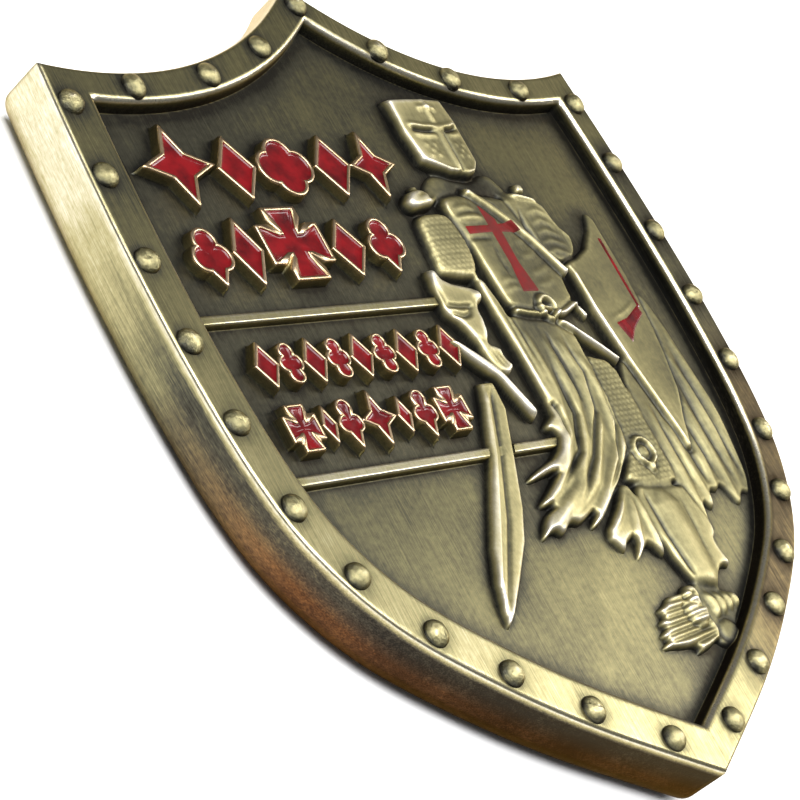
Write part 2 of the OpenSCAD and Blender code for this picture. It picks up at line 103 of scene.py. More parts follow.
def side_at(s, d):
    """Places on the right side at s = 0 (corner) to LAST_KNOT (tip), set back by d."""
    s = np.atleast_1d(np.asarray(s, float))
    i = np.minimum(LAST_KNOT - 1, np.floor(s)).astype(int)
    t = (s - i)[:, None]
    a, b, c, e = (SIDE_KNOTS[np.clip(i + k, 0, LAST_KNOT)] for k in (-1, 0, 1, 2))
    p = 0.5 * (2 * b + (c - a) * t + (2 * a - 5 * b + 4 * c - e) * t ** 2 + (3 * b - a - 3 * c + e) * t ** 3)
    v = 0.5 * ((c - a) + 2 * (2 * a - 5 * b + 4 * c - e) * t + 3 * (3 * b - a - 3 * c + e) * t ** 2)
    v /= np.linalg.norm(v, axis=1)[:, None]
    return p + d * np.column_stack([v[:, 1], -v[:, 0]])


def outline(d, d_top, side_steps=150, arc_steps=48):
    """The whole outline, clockwise from the peak, set back by d along the sides and d_top along the arcs."""
    samples = 9001
    s = np.linspace(0, LAST_KNOT, samples)
    p = side_at(s, d)
    start, end = 0, samples - 1
    if d > 0:
        near_top = p[:samples // 3]
        near_tip = samples * 8 // 9
        start = int(np.argmin(np.abs(near_top[:, 1] - arc_y(near_top[:, 0], d_top))))
        end = near_tip + int(np.argmin(np.abs(p[near_tip:, 0])))
    side = side_at(np.linspace(s[start], s[end], side_steps + 1), d)
    side[-1, 0] = 0
    x = np.linspace(0, side[0, 0], arc_steps + 1)[:-1]
    half = np.vstack([np.column_stack([x, arc_y(x, d_top)]), side])
    return np.vstack([half, half[-2:0:-1] * (-1, 1)])


# Steps along each side and each arc for outlines that only serve to measure distances
COARSE = (60, 24)


# ---- Mesh making ----

def new_piece(name, verts, faces, material, **attributes):
    """A piece from places in the drawing frame, with float attributes on its points."""
    v = (np.asarray(verts, float) - (0, MIDDLE_Y, 0)) * MM
    mesh = bpy.data.meshes.new(name)
    mesh.from_pydata(v.tolist(), [], [list(map(int, f)) for f in faces])
    for label, values in attributes.items():
        layer = mesh.attributes.new(label, "FLOAT", "POINT")
        layer.data.foreach_set("value", np.asarray(values, np.float32))
    mesh.materials.append(material)
    mesh.polygons.foreach_set("use_smooth", [True] * len(mesh.polygons))
    mesh.validate()
    mesh.update()
    piece = bpy.data.objects.new(name, mesh)
    bpy.context.collection.objects.link(piece)
    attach(piece, "root")
    return piece


def bridge(count, low, high):
    """Quads between two rings of count points that start at index low and at index high."""
    i = np.arange(count)
    j = (i + 1) % count
    return np.column_stack([low + i, low + j, high + j, high + i])


def fan(count, ring, hub, flip=False):
    """Triangles from a hub to a ring of count points that starts at index ring."""
    i = np.arange(count)
    j = (i + 1) % count
    hubs = np.full(count, hub)
    return np.column_stack([hubs, ring + j, ring + i] if flip else [hubs, ring + i, ring + j])


def box_blur(a, radius):
    """Mean over a square of 2 * radius + 1 samples, by running sums."""
    for axis in (0, 1):
        width = [(0, 0), (0, 0)]
        width[axis] = (radius + 1, radius)
        run = np.cumsum(np.pad(a, width, mode="edge"), axis=axis)
        n = run.shape[axis]
        high = np.take(run, range(2 * radius + 1, n), axis=axis)
        low = np.take(run, range(0, n - 2 * radius - 1), axis=axis)
        a = (high - low) / (2 * radius + 1)
    return a


def blur(a, radius):
    """A soft blur: three square ones."""
    return box_blur(box_blur(box_blur(a, radius), radius), radius)


# ---- Relief: heights above the front field on one grid ----

STEP = 0.06
# Where there is no relief the height is this, out of sight
FOOT = -0.15
GX, GY = np.meshgrid(np.arange(-18.6, 19.2, STEP), np.arange(-18.0, 24.6, STEP))


def signed_distance(x, y, points):
    """Distance to a closed outline, positive inside."""
    inside = np.zeros(x.shape, bool)
    best = np.full(x.shape, 1e9)
    for (ax, ay), (bx, by) in zip(points, list(points[1:]) + [points[0]]):
        dx, dy = bx - ax, by - ay
        t = np.clip(((x - ax) * dx + (y - ay) * dy) / (dx * dx + dy * dy + 1e-12), 0, 1)
        best = np.minimum(best, np.hypot(x - ax - t * dx, y - ay - t * dy))
        if dy:
            inside ^= ((ay > y) != (by > y)) & (x < dx * (y - ay) / dy + ax)
    return np.where(inside, best, -best)


def soften(points, rounds=2):
    """Cuts the corners of a closed outline so that it flows."""
    p = np.asarray(points, float)
    for _ in range(rounds):
        q = np.roll(p, -1, axis=0)
        p = np.stack([p * 0.8 + q * 0.2, p * 0.2 + q * 0.8], axis=1).reshape(-1, 2)
    return [tuple(v) for v in p]


class Relief:
    """Heights that are built up shape by shape, the farther shapes first."""

    def __init__(self, at):
        self.at = at
        self.h = np.full(GX.shape, FOOT)

    def window(self, points, margin):
        """The part of the grid round some points, with its x and y."""
        p = np.asarray(points, float)
        x0, y0 = p.min(0) + self.at - margin
        x1, y1 = p.max(0) + self.at + margin
        cols = slice(max(0, int((x0 - GX[0, 0]) / STEP)), int((x1 - GX[0, 0]) / STEP) + 2)
        rows = slice(max(0, int((y0 - GY[0, 0]) / STEP)), int((y1 - GY[0, 0]) / STEP) + 2)
        return (rows, cols), GX[rows, cols] - self.at[0], GY[rows, cols] - self.at[1]

    def plate(self, points, top, edge=0.2, groove=0.1, soft=2, swell=0.0):
        """A raised shape with a rounded edge; it hides what it covers and leaves a groove round itself."""
        pts = soften(points, soft) if soft else [tuple(p) for p in points]
        w, x, y = self.window(points, 0.4)
        sd = signed_distance(x, y, pts)
        h = self.h[w]
        rise = np.sqrt(1 - (1 - np.clip(sd / edge, 0, 1)) ** 2)
        level = top(x, y) if callable(top) else top
        level = level + swell * (1 - np.exp(-np.maximum(sd, 0) / 0.7))
        cut = groove * np.clip(1 + sd / 0.22, 0, 1) * (sd <= 0) * (h > 0.05)
        self.h[w] = np.where(sd > 0, h * (1 - rise) + level * rise, h - cut)

    def ridge(self, points, width, height, taper=0.3, on=0.05):
        """A rounded rib (or a groove, when height is negative) along a line, where there is relief already."""
        w, x, y = self.window(points, width + 0.1)
        p = np.asarray(points, float)
        lengths = np.hypot(*(p[1:] - p[:-1]).T)
        total = lengths.sum()
        best = np.full(x.shape, 1e9)
        along = np.zeros(x.shape)
        start = 0.0
        for a, b, n in zip(p[:-1], p[1:], lengths):
            v = (b - a) / n
            t = np.clip((x - a[0]) * v[0] + (y - a[1]) * v[1], 0, n)
            d = np.hypot(x - a[0] - t * v[0], y - a[1] - t * v[1])
            along = np.where(d < best, start + t, along)
            best = np.minimum(best, d)
            start += n
        ends = np.clip(np.minimum(along, total - along) / (taper * total + 1e-9), 0, 1) if taper else 1
        local = width * (0.35 + 0.65 * ends)
        bump = height * ends ** 0.5 * np.clip(1 - (best / local) ** 2, 0, 1) ** 1.5
        self.h[w] += bump * (self.h[w] > on)

    def dome(self, centre, radius, height, hollow=0.0):
        """A round boss, or a ring when hollow is the radius of its eye."""
        w, x, y = self.window([centre], radius + 0.2)
        r = np.hypot(x - centre[0], y - centre[1])
        if hollow:
            mid, half = (radius + hollow) / 2, (radius - hollow) / 2
            bump = np.clip(1 - ((r - mid) / half) ** 2, 0, 1) ** 0.5
        else:
            bump = np.clip(1 - (r / radius) ** 2, 0, 1) ** 0.5
        self.h[w] = np.where(r < radius + 0.15, self.h[w] + height * bump - 0.08 * (bump == 0), self.h[w])

    def mail(self, points, pitch_x, pitch_y, height):
        """Rows of small rings, each row half a ring aside from the one before."""
        w, x, y = self.window(points, 0.1)
        sd = signed_distance(x, y, soften(points))
        row = np.floor(y / pitch_y)
        u = x / pitch_x + 0.5 * (row % 2)
        bead = np.abs(np.sin(pi * u)) * np.sin(pi * (y / pitch_y - row))
        self.h[w] += height * (bead ** 0.8 - 0.5) * np.clip(sd / 0.15, 0, 1)


# Both crosses that carry enamel on the knight
CHEST_UPRIGHT = [(6.15, 12.5), (7.0, 11.6), (6.95, 9), (7.3, 7.3), (5.95, 7.3), (6.2, 9)]
CHEST_ARM = [(4.35, 10.8), (4.3, 11.25), (6.4, 11.25), (8, 11.4), (8.35, 10.8), (6.4, 10.85)]
SHIELD_ARM = [(12.2, 5.1), (13.4, 5.35), (15.1, 6.1), (15.2, 5.6), (13.6, 4.7), (12.7, 3.9)]
SHIELD_UPRIGHT = [(15.1, 10.3), (15.4, 10.3), (15.35, 6), (15.1, 6)]


def cape(r):
    r.plate([(14.4, 6.5), (15.4, 7.4), (16.4, 6.8), (16.9, 4), (16.9, -1), (16.4, -4), (15.6, -5.4),
             (15, -5.1), (14.2, -6), (13.5, -4.5), (12.9, -4.9), (12.3, -4.7), (11.8, -5.9), (11.1, -5.2),
             (10.7, -6.9), (10.1, -6.8), (9.6, -3), (9.9, 2)],
            lambda x, y: 0.36 - 0.03 * (x - 10), edge=0.25, groove=0.14, soft=1)
    folds = [[(10.9, 0.5), (10.6, -3), (10.6, -6.5)], [(11.9, -0.5), (11.5, -3), (11.8, -5.6)],
             [(13.2, -1.6), (12.9, -3.2), (12.9, -4.7)], [(14.3, 1.2), (14.1, -2), (14.2, -5.7)],
             [(15.3, 3.5), (15.6, -1), (15, -4.9)], [(16.3, 4.5), (16.6, -0.5), (15.8, -4.9)]]
    for fold in folds:
        r.ridge(fold, 0.5, 0.15, taper=0.45)
    for x, top in ((11.3, 0.3), (12.5, -2.2), (13.6, 0.5), (14.9, 2.5), (15.9, 3.8)):
        r.ridge([(x, top), (x - 0.1, -2), (x - 0.1, -4.4)], 0.22, -0.16, taper=0.4)


def legs(r):
    r.plate([(5.7, -3.6), (9.9, -3.9), (10.4, -5.5), (10.7, -7), (10.1, -7.4), (10.5, -8.9), (9.6, -8.7),
             (8.8, -9.3), (8.3, -10), (7, -10), (6.6, -9), (6, -7.6)], 0.4, edge=0.2, groove=0.14, soft=1)
    r.ridge([(6.1, -4), (6.2, -6.5), (6.6, -8.8)], 0.3, 0.1)
    r.ridge([(7.9, -4.2), (7.9, -7), (7.8, -9.8)], 1.1, 0.22, taper=0.15)
    r.ridge([(6.7, -4.1), (6.7, -6.5), (7, -9)], 0.12, -0.2, taper=0.1)
    r.ridge([(9.3, -4.6), (9.2, -6.5), (8.9, -8.6)], 0.14, -0.12)


def feet(r):
    r.plate([(5.3, -9.4), (6.3, -9.1), (8.3, -9.6), (9.7, -10.2), (9.3, -11), (8.4, -11.6), (8.1, -12.6),
             (6.6, -12.8), (5.8, -12), (5, -10.9)], 0.25, edge=0.2)
    # Long pointed lames, side by side
    r.plate([(4.1, -9.55), (5.7, -9.5), (6.3, -10.4), (6.5, -12.1), (5.2, -12.5), (3.9, -12.7), (4.6, -12.35),
             (3, -12.1), (1.7, -11.95), (2.6, -11.6), (2.1, -11.35), (2.9, -11), (2.5, -10.75), (3.2, -10.4),
             (2.9, -10.1), (3.6, -9.9)], 0.45, edge=0.12, groove=0.15, soft=1)
    for tip_y, root_y, x in ((-9.85, -9.8, 3.7), (-10.3, -10.2, 3.1), (-10.65, -10.5, 2.8),
                             (-11.05, -10.85, 2.7), (-11.45, -11.2, 2.4), (-11.8, -11.55, 2.4),
                             (-12.25, -11.9, 3.4)):
        r.ridge([(x, tip_y), ((x + 6.2) / 2, (tip_y + root_y) / 2), (6.2, root_y)], 0.11, -0.26, taper=0.06)
    r.dome((5.5, -10.7), 0.75, 0.3)
    r.dome((5.9, -9.75), 0.6, 0.28)
    for k in range(4):
        x = 7 + 0.6 * k
        r.ridge([(x, -9.8 - 0.1 * k), (x + 0.28, -10.5), (x + 0.1, -11.2 + 0.1 * k)], 0.36, 0.24, taper=0.25)
    r.dome((7.4, -12), 0.7, 0.12)


def mail_skirt(r):
    area = [(8, 3.8), (10.3, 3.1), (10.1, 0), (10, -3.9), (9.2, -4.1), (6.6, -3.8), (5.9, -3.3), (7.2, -2),
            (7.6, 0.5)]
    r.plate(area, 0.42, edge=0.3, soft=1)
    r.mail(area, 0.36, 0.3, 0.13)
    r.dome((8.45, -2.1), 0.85, 0.22, hollow=0.55)
    r.dome((8.45, -2.1), 0.45, 0.16)
    r.plate([(8.1, -2.9), (8.8, -2.9), (8.4, -3.35)], 0.6, edge=0.15, soft=0)


def skirt(r):
    r.plate([(5.2, -3.4), (4.4, -4.4), (2.2, -5.9), (3.05, -7.1), (3.4, -6.6), (4.3, -6.3), (3.6, -7.7),
             (4.4, -7.1), (5, -6.8), (5.8, -7.9), (6.1, -6), (6, -3.6)], 0.42, edge=0.3, soft=1)
    for rib in ([(5, -4), (3.9, -5), (2.6, -5.9)], [(5.4, -4.2), (4.8, -5.6), (3.8, -7.4)],
                [(5.8, -4.2), (5.6, -6), (5.6, -7.5)]):
        r.ridge(rib, 0.3, 0.16)
    r.plate([(4.2, 6.3), (8.4, 5.7), (8.3, 3.4), (7.9, 1), (7.6, -1.2), (7.2, -2), (5.4, -3.4), (4.2, -4.1),
             (2.6, -5.2), (1.4, -5.6), (2.4, -4.6), (0.8, -5.2), (0.1, -5.0), (-0.8, -5.6), (-1.4, -5.2),
             (-2.5, -5.7), (-1.5, -4.5), (-0.3, -4.0), (-1.5, -3.95), (0.2, -3.0), (1.2, -2.3),
             (-1.5, -2.7), (-0.6, -2.25), (1.8, -1.5), (2.6, -0.4), (2.0, 0.0), (3.1, 0.7), (3.1, 4),
             (3.4, 5.8)], 0.5, edge=0.15, groove=0.14, soft=1)
    ribs = [[(4.4, 5.2), (4.1, 2), (3.3, -0.6), (1.5, -2.7), (-1.2, -3.9)],
            [(5.5, 4.8), (5.4, 1.5), (4.3, -1), (2, -3.4), (-2.1, -5.5)],
            [(6.6, 4.6), (6.8, 2.4), (5.9, -0.4), (3.4, -3.2), (0.2, -4.9)],
            [(7.6, 3.6), (7.6, 1), (6.8, -1.6), (4.4, -3.6), (1.7, -5.3)],
            [(3.3, 1), (2.9, -0.6), (1.4, -2.1), (-1.2, -2.6)]]
    for rib in ribs:
        r.ridge(rib, 0.5, 0.17, taper=0.2)
    grooves = [[(7.1, 5), (7.2, 2.6), (6.4, 0.4), (4.3, -2), (1.4, -4.3)],
               [(5, 3.2), (4.7, 0.4), (3.5, -1.6), (0.4, -3.4)],
               [(6, 5), (6.1, 3), (5.8, 1)],
               [(7.9, 2.4), (7.4, -0.4), (6, -2.5), (3.6, -4.2)],
               [(3.6, 1.8), (3.4, 0.2), (3, -1)]]
    for line in grooves:
        r.ridge(line, 0.17, -0.3, taper=0.3)


def torso(r):
    r.plate([(3.8, 13.1), (5.6, 13.4), (7.5, 13.2), (9.8, 12.8), (9.9, 11.5), (10.2, 9.5), (10.3, 8.2),
             (10, 7.6), (9.9, 6.3), (7.5, 5.7), (4.3, 6.2), (4.1, 8.8), (4, 10.6), (3.6, 12.2)],
            lambda x, y: 0.6 - 0.05 * np.maximum(x - 6.5, 0), edge=0.2)
    r.ridge([(4, 11.7), (5, 11.75), (6.1, 11.7)], 0.3, 0.16)
    r.ridge([(4.1, 12.2), (5, 12.4), (5.8, 12.2)], 0.25, 0.08)
    r.ridge([(3.9, 10.5), (4.7, 10.55), (6, 10.5)], 0.12, -0.12)
    for y, lift in ((8.3, 0.5), (9.3, 0.9), (7.6, 0.4), (10.2, 0.6)):
        r.ridge([(7.4, y), (8.4, y + 0.15), (9.3, y + lift)], 0.24, 0.035)
    for y in (7.4, 7.9):
        r.ridge([(4.6, y), (5.4, y + 0.2), (6, y + 0.1)], 0.2, 0.05)
    r.ridge([(5.7, 8), (5.6, 9.6), (5.8, 10.4)], 0.12, -0.07)


def right_arm(r):
    r.plate([(10.3, 13.2), (10.4, 13.75), (10.8, 13.95), (11.15, 13.7), (11.1, 13.1)], 0.45, edge=0.2, soft=1)
    r.plate([(8.6, 13.2), (9.1, 13.45), (11.7, 12.7), (12.1, 11.3), (12.8, 10.2), (12.2, 9.2), (10.8, 8.8),
             (9.8, 9.6), (9.4, 11)], lambda x, y: 0.44 + 0.03 * (y - 10), edge=0.15, soft=1)
    r.ridge([(7.5, 13.15), (8.6, 13.2), (9.1, 13.35), (9.8, 12.95), (11.8, 12.65)], 0.2, 0.18, taper=0.15)
    for k in range(9):
        x = 9.9 + 0.26 * k
        r.ridge([(x - 0.15, 12.3 - 0.06 * k), (x + 0.1, 11), (x + 0.05, 9.5)], 0.1, -0.07)
    for k in range(5):
        y = 12 - 0.6 * k
        r.ridge([(9.9, y - 0.1), (10.8, y + 0.1), (11.7 + 0.08 * k, y - 0.3)], 0.16, 0.06)
    r.ridge([(11.8, 12.5), (12.1, 11.3), (12.7, 10.1)], 0.14, 0.12, taper=0.15)
    r.ridge([(9.5, 12.4), (9.35, 11.2), (9.8, 9.8)], 0.14, -0.2)


def shield_plate(r):
    r.plate([(10.7, 8.8), (12, 9.15), (13.5, 9.8), (14.7, 10.9), (15.5, 12.1), (15.9, 11.5), (15.95, 8),
             (15.5, 4.5), (14.4, 1), (13.2, -1), (12.6, -2.4), (12.3, -2.3), (11.9, 0), (11.3, 3),
             (10.8, 6)], lambda x, y: 0.58 - 0.075 * (x - 11), edge=0.14, groove=0.22, soft=0)
    r.ridge([(10.95, 8.8), (12.2, 9.3), (13.6, 10), (14.6, 11), (15.4, 12)], 0.16, 0.14, taper=0.1)
    r.ridge([(11, 8.6), (11, 6), (11.4, 3), (12, 0), (12.4, -2.1)], 0.16, 0.14, taper=0.05)
    r.ridge([(12.75, -1.9), (13.4, -0.6), (14.5, 1.6), (15.3, 4)], 0.14, 0.1, taper=0.1)
    r.ridge([(11.9, 5.3), (13.6, 5.75), (15.1, 6.4)], 0.1, 0.08)


def left_arm(r):
    r.plate([(2.9, 8.7), (3.5, 8.4), (3.9, 6.8), (4.05, 4.5), (3.95, 1.2), (3.3, 1.0), (3.05, 4), (2.85, 7)],
            0.6, edge=0.25)
    r.ridge([(3.35, 8), (3.6, 6), (3.6, 3.6), (3.55, 1.5)], 0.14, -0.12)
    sleeve = [(1.2, 12.3), (3.7, 12.3), (4.1, 10.6), (3.9, 9.2), (3.2, 8.2), (1.8, 8.4), (0.7, 8.8), (0.9, 10.2)]
    r.plate(sleeve, lambda x, y: 0.6 - 0.05 * (x - 2.9) ** 2, edge=0.4)
    r.mail(sleeve, 0.34, 0.28, 0.13)
    r.plate([(0.9, 12.9), (1.5, 13.5), (2.4, 13.7), (3.9, 13.5), (3.95, 13.1), (2.8, 12.5), (1.3, 12.3)],
            0.72, edge=0.3)
    r.ridge([(1.9, 13.1), (3, 13.45), (3.9, 13.3)], 0.12, -0.2)
    r.plate([(1.9, 13.6), (2.3, 13.95), (2.7, 13.9), (2.6, 13.6)], 0.5, edge=0.15, soft=1)
    r.plate([(-0.6, 8.2), (-0.3, 9.0), (0.15, 9.15), (0.4, 8.3), (2.5, 7.8), (2.65, 7.0), (1.9, 6.7),
             (1.6, 5.6), (1.2, 4.5), (0.5, 4.5), (0, 5.7), (-0.8, 6.6)], 0.66, edge=0.22, soft=1)
    r.ridge([(-0.45, 8.9), (-0.35, 7.4), (-0.45, 6.6)], 0.1, -0.16, taper=0.1)
    r.ridge([(-0.4, 6.9), (0.5, 6.75), (1.45, 6.75)], 0.1, -0.28, taper=0.1)
    r.ridge([(-0.4, 6.5), (0.4, 6.2), (0.9, 6.3), (1.3, 6.7)], 0.09, -0.26, taper=0.1)
    r.ridge([(1.9, 6.6), (1.5, 5.7), (1.1, 4.7)], 0.22, 0.16)
    r.ridge([(2, 7.3), (2.5, 7.35)], 0.3, 0.1, taper=0)
    r.plate([(0.3, 4.9), (1.4, 4.7), (2.0, 4.4), (1.9, 3.9), (2.3, 3.3), (1.5, 2.8), (0.8, 3.1)], 0.6,
            edge=0.2, soft=1)
    for k in range(3):
        r.ridge([(0.7 + 0.35 * k, 4.4), (1.1 + 0.35 * k, 3.2)], 0.08, -0.14)


def sword(r):
    r.plate([(-0.9, 2.8), (-2.1, 0.7), (-3.3, -1.4), (-5, -3.7), (-6.2, -5.3), (-7.2, -7), (-7.7, -8.4),
             (-7.8, -9.3), (-7.1, -8.8), (-5.6, -7.4), (-3.8, -5.6), (-2.6, -3.9), (-1.2, -1.3), (0.1, 1.2),
             (0.2, 2.8)], 0.42, edge=0.14, groove=0.12, soft=0)
    r.ridge([(-0.75, 2.4), (-2.7, -1.1), (-4.8, -4.1), (-6.9, -7), (-7.6, -8.6)], 0.16, 0.14, taper=0.05)
    r.ridge([(-0.25, 2.4), (-2.1, -1.1), (-4.1, -4.3), (-6.4, -7.3), (-7.3, -8.5)], 0.1, -0.3, taper=0.05)
    for k in range(6):
        x, y = -7.1 - 0.08 * k, -7.4 - 0.25 * k
        r.ridge([(x - 0.3, y), (x + 0.1, y)], 0.07, -0.14, taper=0)
    r.plate([(-1.75, 5.05), (-1.35, 5.25), (0.4, 3.75), (0.95, 3.1), (1.35, 2.2), (1.95, 0.8), (1.75, 0.35),
             (1.3, 0.75), (0.85, 1.75), (0.5, 2.6), (0, 3.1), (-1, 4.1)], 0.72, edge=0.16, groove=0.2, soft=1)


def helm(r):
    r.plate([(2.6, 12.8), (3.4, 14.1), (4.6, 14.8), (7, 14.2), (9, 14.8), (9.9, 13.5), (9.5, 12.9),
             (7.4, 13), (5.2, 13.1)], 0.28, edge=0.5)
    crown = [(3.75, 19.05), (8.1, 19.05), (8.45, 17.6), (8.4, 15.1), (7.6, 14.35), (7, 14.2), (5.6, 14.4),
             (3.95, 15.2), (3.65, 17)]
    r.plate(crown, lambda x, y: 0.74 - 0.025 * (x - 5.6) ** 2, edge=0.16, groove=0.15, soft=0)
    # Reinforcing cross: brow band, nose bar and crest
    r.ridge([(4.2, 17.35), (5.2, 17.15), (6.4, 17.1), (7.4, 17.2), (8.1, 17.45)], 0.22, 0.14, taper=0.05)
    r.ridge([(6.3, 18.9), (6.35, 17.4)], 0.26, 0.12, taper=0.1)
    r.ridge([(6.35, 17), (6.3, 15.6), (6.4, 14.5)], 0.34, 0.1, taper=0.08)
    r.ridge([(5.5, 18.3), (6.3, 18.35), (7.1, 18.25)], 0.2, 0.14, taper=0.15)
    r.ridge([(6.65, 16.9), (6.65, 15.5), (6.6, 14.4)], 0.08, -0.24, taper=0.05)
    # Eye slots below the band
    r.ridge([(4.3, 17.1), (5.2, 16.95), (6, 16.92)], 0.13, -0.34, taper=0.15)
    r.ridge([(6.8, 16.95), (7.5, 17.02), (8.1, 17.2)], 0.13, -0.34, taper=0.15)
    r.ridge([(4.3, 16.75), (5.1, 16.6), (6, 16.6)], 0.14, 0.12, taper=0.15)
    r.ridge([(6.9, 16.65), (7.6, 16.7), (8.1, 16.85)], 0.14, 0.1, taper=0.15)
    # Breathing holes, and the rolled lower edge
    for cx in (5.05, 7.45):
        for i in range(3):
            for j in range(3):
                if (i + j) % 2 == 0:
                    r.ridge([(cx - 0.3 + 0.3 * i, 15.45 + 0.32 * j), (cx - 0.24 + 0.3 * i, 15.45 + 0.32 * j)],
                            0.11, 0.12, taper=0)
    r.ridge([(4.1, 15.15), (5.6, 14.5), (6.3, 14.4)], 0.16, 0.16, taper=0.1)
    r.ridge([(6.9, 14.35), (7.6, 14.5), (8.35, 15.1)], 0.16, 0.16, taper=0.1)


def straps(r):
    def band(points, width, top):
        """A flat strap along a line."""
        p = np.asarray(points, float)
        v = np.gradient(p, axis=0)
        v /= np.hypot(v[:, 0], v[:, 1])[:, None]
        n = np.column_stack([-v[:, 1], v[:, 0]]) * width / 2
        r.plate(np.vstack([p + n, (p - n)[::-1]]), top, edge=0.12, groove=0.16, soft=0)

    band([(5.8, 13.4), (7, 12.4), (8.2, 11.2), (9, 10.2), (10.4, 8.1)], 0.5, 0.78)
    band([(4.4, 6.35), (5.4, 6.1), (6.7, 5.95)], 0.36, 0.72)
    band([(7.4, 5.85), (8.4, 5.95), (9.9, 6.5)], 0.34, 0.74)
    band([(9.7, 6.5), (10.1, 6.1), (10.3, 5.6)], 0.24, 0.7)
    band([(7.5, 5.55), (8.7, 4.7), (9.7, 3.8), (10.6, 2.9)], 0.36, 0.74)
    r.dome((7.15, 6.3), 0.78, 0.26, hollow=0.42)
    band([(6.3, 6.35), (7.5, 6.2)], 0.26, 0.86)
    r.ridge([(6.1, 13.25), (8.3, 11.15), (10.3, 8.3)], 0.1, -0.06, taper=0.05)


def knight_relief():
    r = Relief(KNIGHT_AT)
    for part in (cape, legs, feet, mail_skirt, skirt, torso, right_arm, shield_plate, left_arm, sword, helm,
                 straps):
        part(r)
    return np.maximum(r.h, FOOT)


def bar_relief():
    r = Relief((0, 0))
    for x0, x1, y in ((-18, -0.4, 7.1), (-17.4, 2.6, -1.05)):
        half = BAR_W / 2
        r.plate([(x0, y - half), (x0, y + half), (x1, y + half), (x1, y - half)], BAR_H, edge=0.1, soft=0)
    return r.h


# ---- Ornaments: closed outlines that their middle sees whole, given as a gap (negative inside) ----

# Radius of a lobe as a share of the width, width of a star's rays and the bars of a cross as shares of its size
LOBE = 0.27
RAY = 0.46
ARM_SHARE = 0.26
FOOT_SHARE = 0.16


def lozenge(x, y, w, h):
    a, b = w / 2, h / 2
    return (np.abs(x) / a + np.abs(y) / b - 1) * a * b / hypot(a, b)


def box2(x, y, w, h):
    return np.maximum(np.abs(x) - w / 2, np.abs(y) - h / 2)


def disc(x, y, r):
    return np.hypot(x, y) - r


def quatrefoil(x, y, w, h):
    r = min(w, h) * LOBE
    lobes = [disc(x - s * (w / 2 - r), y, r) for s in (-1, 1)]
    lobes += [disc(x, y - s * (h / 2 - r), r) for s in (-1, 1)]
    return np.minimum.reduce(lobes + [lozenge(x, y, w * 0.8, h * 0.8)])


def trefoil(x, y, w, h):
    r = w * LOBE
    lobes = [disc(x - s * (w / 2 - r), y + h * 0.04, r) for s in (-1, 1)]
    return np.minimum.reduce(lobes + [disc(x, y - h / 2 + r, r), lozenge(x, y + h * 0.1, w * 0.62, h * 0.8)])


def star(x, y, w, h):
    return np.minimum(lozenge(x, y, w, h * RAY), lozenge(x, y, w * RAY, h))


def cross(x, y, w, h):
    arm, foot = min(w, h) * ARM_SHARE, min(w, h) * FOOT_SHARE
    parts = [box2(x, y, w, arm), box2(x, y, arm, h)]
    for s in (-1, 1):
        parts.append(box2(x - s * (w - foot) / 2, y, foot, h * 0.5))
        parts.append(box2(x, y - s * (h - foot) / 2, w * 0.5, foot))
    return np.minimum.reduce(parts)


KINDS = {"lozenge": lozenge, "quatrefoil": quatrefoil, "trefoil": trefoil, "star": star, "cross": cross}
# Kind, x, y, width, height and rim width; the size includes the rim
ROWS = {
    "a": [("star", -13.4, 15.2, 4.1, 4.0, LARGE_RIM), ("lozenge", -9.75, 15, 2.5, 3.3, LARGE_RIM),
          ("quatrefoil", -6.45, 15, 3.7, 3.3, LARGE_RIM), ("lozenge", -3.1, 15, 2.5, 3.3, LARGE_RIM),
          ("star", -0.15, 15, 3.0, 3.3, LARGE_RIM)],
    "b": [("trefoil", -14.35, 10.4, 2.5, 3.0, LARGE_RIM), ("lozenge", -11.95, 10.5, 2.0, 3.3, LARGE_RIM),
          ("cross", -8.6, 10.8, 4.2, 4.0, LARGE_RIM), ("lozenge", -5.15, 10.4, 2.3, 3.0, LARGE_RIM),
          ("trefoil", -2.4, 10.5, 2.5, 3.0, LARGE_RIM)],
    "c": [("quatrefoil" if i % 2 else "lozenge", -14.6 + 1.58 * i, 4.7, 1.5, 2.15, SMALL_RIM)
          for i in range(9)],
    "d": [("cross", -14.35, 1.5, 2.1, 2.4, SMALL_RIM), ("lozenge", -12.7, 1.5, 0.95, 1.6, SMALL_RIM),
          ("trefoil", -11.3, 1.5, 1.6, 2.4, SMALL_RIM), ("star", -9.35, 1.5, 2.1, 2.4, SMALL_RIM),
          ("lozenge", -7.6, 1.5, 0.95, 1.6, SMALL_RIM), ("trefoil", -6.15, 1.5, 1.6, 2.4, SMALL_RIM),
          ("cross", -4.1, 1.5, 2.1, 2.4, SMALL_RIM)],
}
# Points round each ornament
RAYS = 160


def centre_of(o):
    return o[1] + ORNAMENTS_AT[0], o[2] + ORNAMENTS_AT[1]


def gap_of(o, x, y):
    """Gap from the enamel outline of an ornament, for places counted from its centre."""
    kind, _, _, w, h, rim = o
    return KINDS[kind](x, y, w - 2 * rim, h - 2 * rim)


def ring_of(o, level):
    """The outline at a gap of level round the enamel, found along rays from the centre."""
    angle = np.arange(RAYS) * 2 * pi / RAYS
    c, s = np.cos(angle), np.sin(angle)
    low, high = np.zeros(RAYS), np.full(RAYS, 4.0)
    for _ in range(26):
        mid = (low + high) / 2
        out = gap_of(o, mid * c, mid * s) > level
        low, high = np.where(out, low, mid), np.where(out, mid, high)
    return low * c, low * s


